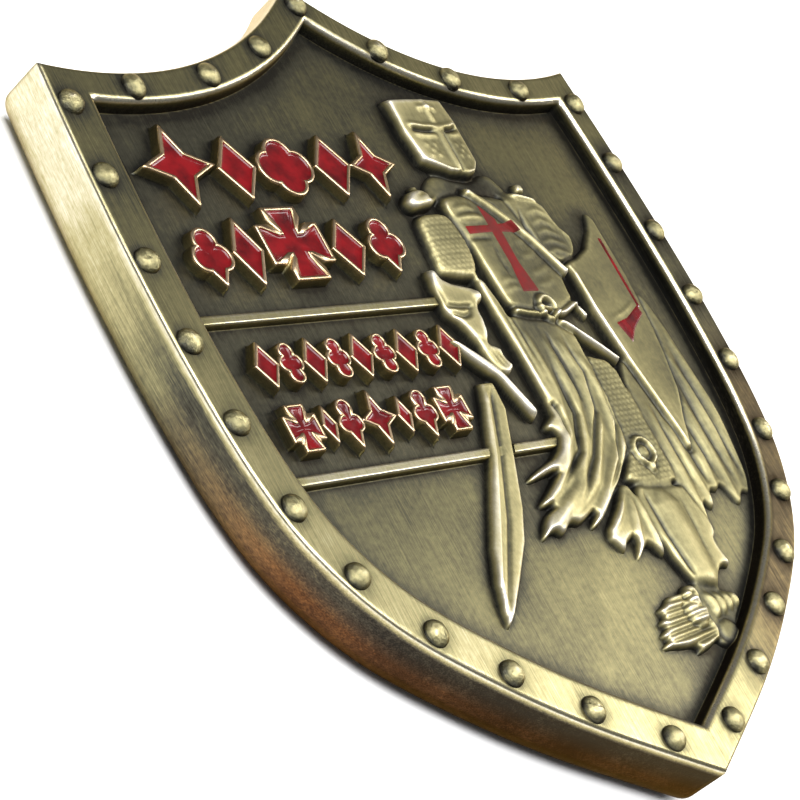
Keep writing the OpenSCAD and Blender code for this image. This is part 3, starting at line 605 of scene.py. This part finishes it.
def stack(o, levels, hub_low, hub_high):
    """A closed solid through rings: levels holds (gap, height above the field, wear, share of the radius)."""
    cx, cy = centre_of(o)
    verts, wear, faces = [], [], []
    for k, (gap, z, worn_and_shaded, share) in enumerate(levels):
        x, y = ring_of(o, gap)
        verts += [(cx + share * a, cy + share * b, FIELD_Z + z) for a, b in zip(x, y)]
        wear += [worn_and_shaded] * RAYS
        if k:
            faces += bridge(RAYS, (k - 1) * RAYS, k * RAYS).tolist()
    hub = len(verts)
    verts += [(cx, cy, FIELD_Z + hub_low), (cx, cy, FIELD_Z + hub_high)]
    wear += [0, levels[-1][2]]
    faces += fan(RAYS, 0, hub, flip=True).tolist()
    faces += fan(RAYS, (len(levels) - 1) * RAYS, hub + 1).tolist()
    return verts, faces, wear


def joined(parts):
    """Several (verts, faces, wear) as one."""
    verts, faces, wear = [], [], []
    for v, f, a in parts:
        faces += [[i + len(verts) for i in face] for face in f]
        verts += list(v)
        wear += list(a)
    return verts, faces, wear


def block_mesh(o):
    """The metal of an ornament: a draughted wall, a narrow rim and the pocket inside it."""
    rim = o[5]
    floor = ORNAMENT_H - POCKET_D
    return stack(o, [(rim + 0.14, -0.06, 0.0, 1), (rim + 0.09, 0.01, 0.1, 1), (rim + 0.045, 0.1, 0.36, 1),
                     (rim + 0.02, 0.45, 0.52, 1), (rim - 0.01, ORNAMENT_H - 0.04, 0.7, 1),
                     (rim - 0.04, ORNAMENT_H, 0.74, 1), (0.03, ORNAMENT_H, 0.74, 1),
                     (0.0, ORNAMENT_H - 0.03, 0.5, 1), (-0.02, floor, 0.1, 1)], -0.06, floor)


def fill_mesh(o):
    """Enamel that climbs its rim a little and sinks towards the middle."""
    top = ORNAMENT_H
    return stack(o, [(0.005, top - POCKET_D + 0.01, 0, 1), (0.005, top - 0.03, 0, 1), (-0.03, top - 0.07, 0, 1),
                     (-0.07, top - 0.1, 0, 1), (-0.13, top - 0.115, 0, 1), (-0.13, top - 0.11, 0, 0.5)],
                 top - POCKET_D + 0.01, top - 0.1)


# ---- Materials ----

class Nodes:
    """Short names for building a node material."""

    def __init__(self, name):
        self.material = bpy.data.materials.new(name)
        self.material.use_nodes = True
        self.tree = self.material.node_tree
        self.tree.nodes.clear()
        self.shader = self.add("ShaderNodeBsdfPrincipled")
        out = self.add("ShaderNodeOutputMaterial")
        self.link(self.shader.outputs[0], out.inputs["Surface"])
        self.place = self.add("ShaderNodeTexCoord").outputs["Object"]

    def add(self, kind, **settings):
        node = self.tree.nodes.new(kind)
        for key, value in settings.items():
            setattr(node, key, value)
        return node

    def link(self, a, b):
        self.tree.links.new(a, b)

    def noise(self, scale, detail=4, stretch=(1, 1, 1), roughness=0.55):
        mapping = self.add("ShaderNodeMapping")
        mapping.inputs["Scale"].default_value = stretch
        self.link(self.place, mapping.inputs["Vector"])
        node = self.add("ShaderNodeTexNoise")
        node.inputs["Scale"].default_value = scale
        node.inputs["Detail"].default_value = detail
        node.inputs["Roughness"].default_value = roughness
        self.link(mapping.outputs[0], node.inputs["Vector"])
        return node.outputs["Fac"]

    def math(self, operation, a, b, clamp=False):
        node = self.add("ShaderNodeMath", operation=operation, use_clamp=clamp)
        for socket, value in zip(node.inputs, (a, b)):
            if isinstance(value, (int, float)):
                socket.default_value = value
            else:
                self.link(value, socket)
        return node.outputs[0]

    def swing(self, value, amount):
        """A value round a half, made into a swing of plus or minus amount."""
        return self.math("MULTIPLY", self.math("SUBTRACT", value, 0.5), 2 * amount)

    def ramp(self, value, stops):
        node = self.add("ShaderNodeValToRGB")
        band = node.color_ramp
        while len(band.elements) < len(stops):
            band.elements.new(0.5)
        for element, (at, colour) in zip(band.elements, stops):
            element.position = at
            element.color = (*colour, 1)
        self.link(value, node.inputs[0])
        return node.outputs["Color"]

    def attribute(self, name):
        return self.add("ShaderNodeAttribute", attribute_name=name).outputs["Fac"]

    def bump(self, height, strength, distance):
        node = self.add("ShaderNodeBump")
        node.inputs["Strength"].default_value = strength
        node.inputs["Distance"].default_value = distance
        self.link(height, node.inputs["Height"])
        self.link(node.outputs[0], self.shader.inputs["Normal"])


# Colour of the brass from fully tarnished to rubbed bare
PATINA = [(0.0, (0.02, 0.02, 0.018)), (0.2, (0.07, 0.068, 0.05)), (0.4, (0.19, 0.174, 0.092)),
          (0.6, (0.37, 0.33, 0.172)), (0.8, (0.57, 0.525, 0.375)), (1.0, (0.85, 0.81, 0.69))]


# The brushing runs up and down the coin
STREAK = (40, 1, 40)


def antique_brass(name, streak_amount=0.2, rough=(0.5, 0.38, 0.26), mottle=0.14, dent=0.35, deep=0.00003,
                  blotch=260):
    """Brass whose recesses keep a dark patina and whose raised edges are rubbed bright; the wear attribute it
    reads also carries painted shade, and its warm tint a painted reflection.
    """
    n = Nodes(name)
    cloud = n.noise(blotch, 5)
    grain = n.noise(3200, 3)
    lines = n.noise(380, 5, stretch=STREAK, roughness=0.7)
    worn_and_shaded = n.math("ADD", n.attribute("wear"), n.swing(cloud, mottle))
    worn_and_shaded = n.math("ADD", worn_and_shaded, n.swing(grain, 0.1))
    worn_and_shaded = n.math("ADD", worn_and_shaded, n.swing(lines, streak_amount), clamp=True)
    brass = n.ramp(worn_and_shaded, PATINA)
    # Warm tint: the rims' own redder brass, a painted warm reflection on the outer edge, and a warmer lower
    # right of the border
    warm = n.add("ShaderNodeMix", data_type="RGBA", blend_type="MULTIPLY")
    n.link(n.attribute("warm"), warm.inputs["Factor"])
    n.link(brass, warm.inputs["A"])
    warm.inputs["B"].default_value = (0.95, 0.42, 0.27, 1)
    n.link(warm.outputs["Result"], n.shader.inputs["Base Color"])
    n.link(n.ramp(worn_and_shaded, [(k / 2, (r,) * 3) for k, r in enumerate(rough)]), n.shader.inputs["Roughness"])
    n.shader.inputs["Metallic"].default_value = 1.0
    n.shader.inputs["Specular Tint"].default_value = (0.75, 0.62, 0.45, 1)
    relief = n.math("ADD", n.math("MULTIPLY", lines, 0.7), n.math("MULTIPLY", grain, 0.5))
    n.bump(relief, dent, deep)
    return n.material


def red_enamel(name, colour, edge, rough, coat, gloss):
    """Glossy baked enamel, a little uneven."""
    n = Nodes(name)
    cloud = n.noise(900, 3)
    n.link(n.ramp(cloud, [(0.3, edge), (0.65, colour)]), n.shader.inputs["Base Color"])
    n.shader.inputs["Roughness"].default_value = rough
    n.shader.inputs["Coat Weight"].default_value = coat
    n.shader.inputs["Specular IOR Level"].default_value = gloss
    n.shader.inputs["Coat Roughness"].default_value = 0.06
    n.bump(n.noise(1400, 2), 0.3, 0.00005)
    return n.material


def pale_floor(name):
    """A plain matt surface, a touch uneven in tone."""
    n = Nodes(name)
    n.link(n.ramp(n.noise(6, 2), [(0.0, (0.9, 0.9, 0.9)), (1.0, (0.93, 0.93, 0.93))]),
           n.shader.inputs["Base Color"])
    n.shader.inputs["Roughness"].default_value = 0.9
    return n.material


BRASS_FACE = antique_brass("antique_brass_face")
BRASS_RELIEF = antique_brass("antique_brass_relief", streak_amount=0.1, rough=(0.58, 0.54, 0.48),
                             mottle=0.24)
BRASS_RIVET = antique_brass("antique_brass_rivet", streak_amount=0.05, rough=(0.4, 0.34, 0.26), mottle=0.5,
                            dent=1, deep=0.00009, blotch=1500)
BRASS_SHELL = antique_brass("antique_brass_shell", streak_amount=0.34)
ENAMEL = red_enamel("red_enamel", (0.155, 0.003, 0.005), (0.05, 0.001, 0.002), 0.25, 0.15, 0.3)
FADED = red_enamel("worn_red_enamel", (0.14, 0.006, 0.006), (0.07, 0.012, 0.009), 0.6, 0.0, 0.12)


# ---- The face: field, knight, bars, ornaments ----

def ornament_heights():
    """Heights of all ornament blocks on the grid, for the patina that gathers round them."""
    h = np.zeros(GX.shape)
    for row in ROWS.values():
        for o in row:
            cx, cy = centre_of(o)
            reach = max(o[3], o[4]) / 2 + 1
            cols = np.abs(GX[0] - cx) < reach
            rows = np.abs(GY[:, 0] - cy) < reach
            w = np.ix_(rows, cols)
            gap = gap_of(o, GX[w] - cx, GY[w] - cy)
            h[w] = np.maximum(h[w], ORNAMENT_H * np.clip((o[5] + 0.05 - gap) / 0.1, 0, 1))
    return h


def panel_distance():
    """How far each grid place is inside the front panel."""
    p = outline(SIDE_BORDER + WALL_SLOPE, TOP_BORDER + WALL_SLOPE, *COARSE) + (STRIKE_X, 0)
    return signed_distance(GX, GY, [tuple(v) for v in p])


INSIDE = panel_distance()
KNIGHT = blur(knight_relief(), 1)
BARS = np.where(INSIDE > -0.6, bar_relief(), FOOT)
RELIEF = np.maximum(KNIGHT, BARS)
WALL = (COIN_T - FIELD_Z) * np.clip(0.5 - INSIDE / 0.2, 0, 1)
HEIGHTS = np.maximum.reduce([np.maximum(RELIEF, 0), ornament_heights(), WALL])
NEAR = HEIGHTS - blur(HEIGHTS, 2)
WIDE = HEIGHTS - blur(HEIGHTS, 7)
HALO = HEIGHTS - blur(HEIGHTS, 20)


def face_wear():
    """Rubbed where the face stands above its surroundings and in the open field, dark in the corners, with
    painted shadows by the shield and under the helm.
    """
    open_field = 0.28 + 0.07 * np.clip((2 - GY) / 8, 0, 1) + 0.05 * np.clip(GX / 12, 0, 1)
    raised = np.clip(HEIGHTS / 0.3, 0, 1)
    low_down = 0.12 * np.clip((6 - GY) / 12, 0, 1)
    level = open_field * (1 - raised) + (0.26 + low_down + 0.08 * HEIGHTS) * raised
    # Painted shadows above the shield, beside its edge and under the helm
    for x, y, reach in ((13.9, 10.8, 1.0), (12.4, 9.9, 0.8), (14.7, 11.6, 0.8), (10.4, 7, 0.8),
                        (7.5, 13.6, 1.6)):
        level = level - 0.16 * np.exp(-((GX - x) ** 2 + (GY - y) ** 2) / reach ** 2)
    return np.clip(level + 0.5 * HALO + 0.7 * WIDE + 1.7 * NEAR, 0, 1)


# Wear and patina of the face, with painted shadows
WEAR_AND_SHADE = face_wear()


def grid_piece(name, z, worn_and_shaded, keep, material, every=1, down=False):
    """The part of the grid where keep is true, as one sheet at heights z that faces up or down."""
    x, y, z, worn_and_shaded, keep = (a[::every, ::every] for a in (GX, GY, z, worn_and_shaded, keep))
    cells = keep[:-1, :-1] | keep[1:, :-1] | keep[:-1, 1:] | keep[1:, 1:]
    r, c = np.nonzero(cells)
    wide = x.shape[1]
    corner = r * wide + c
    quads = np.column_stack([corner, corner + 1, corner + wide + 1, corner + wide])
    if down:
        quads = quads[:, [0, 3, 2, 1]]
    used, index = np.unique(quads, return_inverse=True)
    verts = np.column_stack([x.ravel(), y.ravel(), z.ravel()])[used]
    return new_piece(name, verts, index.reshape(-1, 4), material, wear=worn_and_shaded.ravel()[used])


def front_face():
    level = np.full(GX.shape, FIELD_Z)
    pieces = [grid_piece("front_field", level, WEAR_AND_SHADE, INSIDE > -0.1, BRASS_FACE, every=2),
              grid_piece("knight_relief", KNIGHT + FIELD_Z, WEAR_AND_SHADE, KNIGHT > -0.1, BRASS_RELIEF),
              grid_piece("cross_bars", BARS + FIELD_Z, WEAR_AND_SHADE, (BARS > -0.1) & (KNIGHT < 0.1), BRASS_FACE)]
    for label, row in ROWS.items():
        verts, faces, wear = joined([block_mesh(o) for o in row])
        # The rubbed rims are a little redder than the rest
        warm = 0.35 * np.clip(np.array(wear) - 0.4, 0, 0.3) / 0.3
        pieces.append(new_piece(f"ornament_row_{label}", verts, faces, BRASS_FACE, wear=wear, warm=warm))
    return pieces


def enamel_fills():
    for label, row in ROWS.items():
        for k, o in enumerate(row):
            verts, faces, _ = fill_mesh(o)
            fill = new_piece(f"fill_{label}{k + 1}", verts, faces, ENAMEL)
            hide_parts(f"enamel_{label}{k + 1}")


def relief_patch(name, outlines, material, node):
    """Enamel that lies on the relief inside some outlines."""
    at_x, at_y = KNIGHT_AT
    sd = np.maximum.reduce([signed_distance(GX - at_x, GY - at_y, p) for p in outlines])
    lift = 0.05 * np.clip(sd / 0.08 + 0.4, 0, 1) - 0.02
    patch = grid_piece(name, KNIGHT + lift + FIELD_Z, WEAR_AND_SHADE, (sd > -0.02) & (KNIGHT > 0.2), material)
    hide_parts(node)


# ---- The shell: border, outer edge and reverse ----

def rivet_places():
    sides = [tuple(q) for q in side_at(SIDE_RIVETS, RIVET_IN)]
    half = sides + [(x, float(arc_y(x, RIVET_IN))) for x in ARC_RIVETS]
    return [(0, PEAK_RIVET_Y)] + half + [(-x, y) for x, y in half]


def shell_rings():
    """Rings of (places, height, wear): up the panel's wall, over the border and down to the reverse."""
    panel = (STRIKE_X, 0)
    slope, d, t = WALL_SLOPE, SIDE_BORDER, TOP_BORDER
    for z, share, more, worn_and_shaded in ((FIELD_Z - 0.2, 1, 0.05, 0), (FIELD_Z, 1, 0, 0), (FIELD_Z + 0.05, 0.8, 0, 0.05),
                                 (FIELD_Z + 0.3, 0.6, 0, 0.25)):
        yield outline(d + slope * share + more, t + slope * share + more) + panel, z, worn_and_shaded
    for a in np.linspace(0, pi / 2, 7):
        inset = 0.06 - INNER_R * (1 - cos(a))
        yield outline(d + inset, t + inset) + panel, COIN_T - INNER_R * (1 - sin(a)), 0.45 + 0.45 * sin(2 * a)
    inner = outline(d - 0.4, t - 0.4) + panel
    outer = outline(EDGE_R + 0.1, EDGE_R + 0.1)
    for share in np.linspace(0, 1, 8):
        yield inner * (1 - share) + outer * share, COIN_T, 0.5
    for a in np.linspace(0, pi / 2, 8):
        inset = EDGE_R * (1 - sin(a))
        yield outline(inset, inset), COIN_T - EDGE_R * (1 - cos(a)), 0.5 + 0.35 * sin(a)
    for z in np.linspace(COIN_T - EDGE_R, NOSE_H, 7)[1:]:
        yield outline(0, 0), z, 0.85
    for a in np.linspace(0, pi / 2, 11)[1:]:
        inset = NOSE_IN * (1 - cos(a))
        yield outline(inset, inset), NOSE_H * (1 - sin(a)), 0.8
    back = NOSE_IN + BACK_RIM
    for z, inset, worn_and_shaded in ((0, back - 1.4, 0.6), (0, back - 0.7, 0.6), (0, back - 0.1, 0.85),
                           (0.04, back, 0.9), (BACK_D - 0.06, back + 0.06, 0.2), (BACK_D + 0.2, back + 0.1, 0)):
        yield outline(inset, inset), z, worn_and_shaded


def shell_wear_shade_and_warmth(x, y, z, wear):
    """Wear with painted shade, and warmth with a painted warm reflection, of the shell, from the wear of its
    rings and the place on the coin.
    """
    # Patina and painted shade gather round the rivets; the right side and the upper left of the border are
    # darker, the lower left a little lighter
    top = np.clip((z - COIN_T + 0.05) / 0.05, 0, 1)
    away = np.full(len(x), 9.0)
    for cx, cy in rivet_places():
        away = np.minimum(away, np.hypot(x - cx, y - cy) - RIVET_R)
    rivet_patina_and_shade = 0.26 * np.exp(-np.maximum(away, 0) / 0.35)
    right_side = 0.27 * np.clip((x - 4) / 8, 0, 1) * np.clip((19 - y) / 5, 0, 1)
    upper_left = 0.16 * np.clip((y - 4) / 10, 0, 1) * np.clip((4 - x) / 6, 0, 1)
    lower_left = 0.08 * np.clip((1 - y) / 9, 0, 1) * np.clip((5 - x) / 8, 0, 1)
    wear = wear - top * (rivet_patina_and_shade + right_side + upper_left - lower_left)
    # Painted shade and a painted warm reflection on the outer edge: it gets darker and browner towards the tip,
    # and darkest just below the border
    side = np.clip((COIN_T - 0.15 - z) / 0.3, 0, 1) * (z > 0.02)
    low = np.clip((14 - y) / 11, 0, 1)
    wear = wear - side * (0.11 + low * (0.46 + 0.34 * np.clip((-3 - y) / 10, 0, 1)))
    wear = wear - side * low * (0.14 * np.clip((z - 1.9) / 0.5, 0, 1) - 0.12 * np.clip(-y / 8, 0, 1))
    warm = side * np.clip((5 - y) / 10, 0, 1) * (0.2 + 0.75 * np.clip((2.7 - z) / 1.0, 0, 1))
    warm = warm + top * 0.3 * np.clip((x - 5) / 5, 0, 1) * np.clip((5 - y) / 5, 0, 1)
    return np.clip(wear, 0, 1), warm


def shell():
    """One closed ring: inner wall, border, rounded outer edge and the flat rim of the reverse."""
    rings = list(shell_rings())
    count = len(rings[0][0])
    verts = np.vstack([np.column_stack([p, np.full(count, z)]) for p, z, _ in rings])
    wear = np.concatenate([np.full(count, worn_and_shaded) for _, _, worn_and_shaded in rings])
    faces = [bridge(count, k * count, (k + 1) % len(rings) * count) for k in range(len(rings))]
    wear, warm = shell_wear_shade_and_warmth(*verts.T, wear)
    return new_piece("border_shell", verts, np.vstack(faces)[:, ::-1], BRASS_SHELL, wear=wear, warm=warm)


def rivet_heads():
    """Low domes, each a little dented in its own way, with patina and painted shade at their foot."""
    rng = np.random.default_rng(7)
    # Dark foot ring of each head: patina and painted shade
    profile = [(1.06, -0.12, 0.1), (1.04, -0.01, 0.1), (1.0, 0.02, 0.05)]
    profile += [(cos(a), 0.04 + (RIVET_H - 0.04) * sin(a) ** 0.9, 0.16 + 0.42 * sin(a))
                for a in np.linspace(0.12, 1.42, 10)]
    count = 28
    angle = np.arange(count) * 2 * pi / count
    parts = []
    for cx, cy in rivet_places():
        dent = rng.uniform(-0.05, 0.05, 4)
        verts, wear, faces = [], [], []
        for k, (share, z, worn_and_shaded) in enumerate(profile):
            wobble = 1 + dent[0] * 0.6 * np.cos(2 * angle + 9 * dent[1])
            sag = z * (1 + dent[2] * np.cos(angle + 40 * dent[3]) + dent[0] * np.cos(3 * angle) * 0.6)
            radius = RIVET_R * share * wobble
            height = COIN_T + np.minimum(sag, RIVET_H)
            verts += list(zip(cx + radius * np.cos(angle), cy + radius * np.sin(angle), height))
            wear += [worn_and_shaded] * count
            if k:
                faces += bridge(count, (k - 1) * count, k * count).tolist()
        hub = len(verts)
        verts += [(cx, cy, COIN_T - 0.12), (cx, cy, COIN_T + RIVET_H * 0.97)]
        wear += [0.0, 0.6]
        faces += fan(count, 0, hub, flip=True).tolist()
        faces += fan(count, (len(profile) - 1) * count, hub + 1).tolist()
        parts.append((verts, faces, wear))
    verts, faces, wear = joined(parts)
    return new_piece("rivet_heads", verts, faces, BRASS_RIVET, wear=wear)


def reverse():
    """The sunken reverse field with its plain cross and band."""
    edge = NOSE_IN + BACK_RIM - 0.1
    inside = signed_distance(GX, GY, [tuple(v) for v in outline(edge, edge, *COARSE)])
    gap = BACK_BAND_GAP + 0.1
    band = np.minimum(inside - gap, gap + BACK_BAND_W - inside)
    cx, cy = np.abs(GX), np.abs(GY - DEVICE_Y)
    waist, end = DEVICE_W / 2, DEVICE_FLARE / 2
    flare = (end - waist) / (DEVICE_ARM - waist)
    upright = np.minimum(DEVICE_ARM - cy, waist + (cy - waist) * flare - cx)
    level = np.minimum(DEVICE_ARM - cx, waist + (cx - waist) * flare - cy)
    device = np.maximum(np.where(cy > cx, upright, level), band)
    rise = np.sqrt(1 - (1 - np.clip(device / 0.2, 0, 1)) ** 2) * (BACK_D - DEVICE_LOW)
    worn_and_shaded = 0.34 + 0.5 * rise + 1.2 * (rise - blur(rise, 5)) - 0.3 * np.clip(1 - inside / 0.9, 0, 1)
    return grid_piece("reverse_face", BACK_D - rise, np.clip(worn_and_shaded, 0, 1), inside > -0.05, BRASS_FACE,
                      every=2, down=True)


def coin():
    metal = front_face() + [shell(), rivet_heads(), reverse()]
    for piece in metal:
        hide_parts("coin_body")
    enamel_fills()
    relief_patch("fill_chest_cross", [CHEST_UPRIGHT, CHEST_ARM], FADED, "enamel_chest_cross")
    relief_patch("fill_shield_cross", [SHIELD_ARM, SHIELD_UPRIGHT], ENAMEL, "enamel_shield_cross")


# ---- Studio ----

def area_light(name, place, target, size, power):
    data = bpy.data.lights.new(name, "AREA")
    data.shape = "RECTANGLE"
    data.size, data.size_y = size
    data.energy = power
    lamp = bpy.data.objects.new(name, data)
    lamp.location = Vector(place)
    lamp.rotation_euler = (Vector(target) - Vector(place)).to_track_quat("-Z", "Y").to_euler()
    bpy.context.collection.objects.link(lamp)


def studio():
    mesh = bpy.data.meshes.new("floor")
    reach = 1.5
    corners = [(-reach, -reach, 0), (reach, -reach, 0), (reach, reach, 0), (-reach, reach, 0)]
    mesh.from_pydata(corners, [], [(0, 1, 2, 3)])
    mesh.materials.append(pale_floor("pale_floor"))
    floor = bpy.data.objects.new("floor", mesh)
    bpy.context.collection.objects.link(floor)
    world = bpy.data.worlds.new("studio")
    world.use_nodes = True
    background = world.node_tree.nodes["Background"]
    background.inputs["Color"].default_value = (1, 1, 1, 1)
    background.inputs["Strength"].default_value = 0.14
    bpy.context.scene.world = world
    bpy.context.scene.view_settings.view_transform = "Standard"
    area_light("softbox", (-0.12, 0.02, 0.6), (-0.02, 0, 0), (0.5, 0.5), 8.5)
    area_light("card", (0.404, 0.0, 0.294), (0, 0, 0), (0.12, 0.3), 1.3)


def camera():
    """The camera stands low at the coin's left and is rolled half a right angle."""
    place = Vector((-0.10078, -0.03629, 0.07178))
    target = Vector((-0.00809, -0.00152, 0.0036))
    roll = radians(49.16)
    forward = (target - place).normalized()
    level = forward.cross(Vector((0, 0, 1))).normalized()
    upright = level.cross(forward)
    right = level * cos(roll) + upright * sin(roll)
    up = upright * cos(roll) - level * sin(roll)
    data = bpy.data.cameras.new("camera")
    data.sensor_width = 36
    data.lens = 121.84
    data.clip_start = 0.005
    eye = bpy.data.objects.new("camera", data)
    turn = Matrix((right, up, -forward)).transposed().to_4x4()
    eye.matrix_world = Matrix.Translation(place) @ turn
    bpy.context.collection.objects.link(eye)
    bpy.context.scene.camera = eye


coin()
studio()
camera()
bpy.context.view_layer.update()
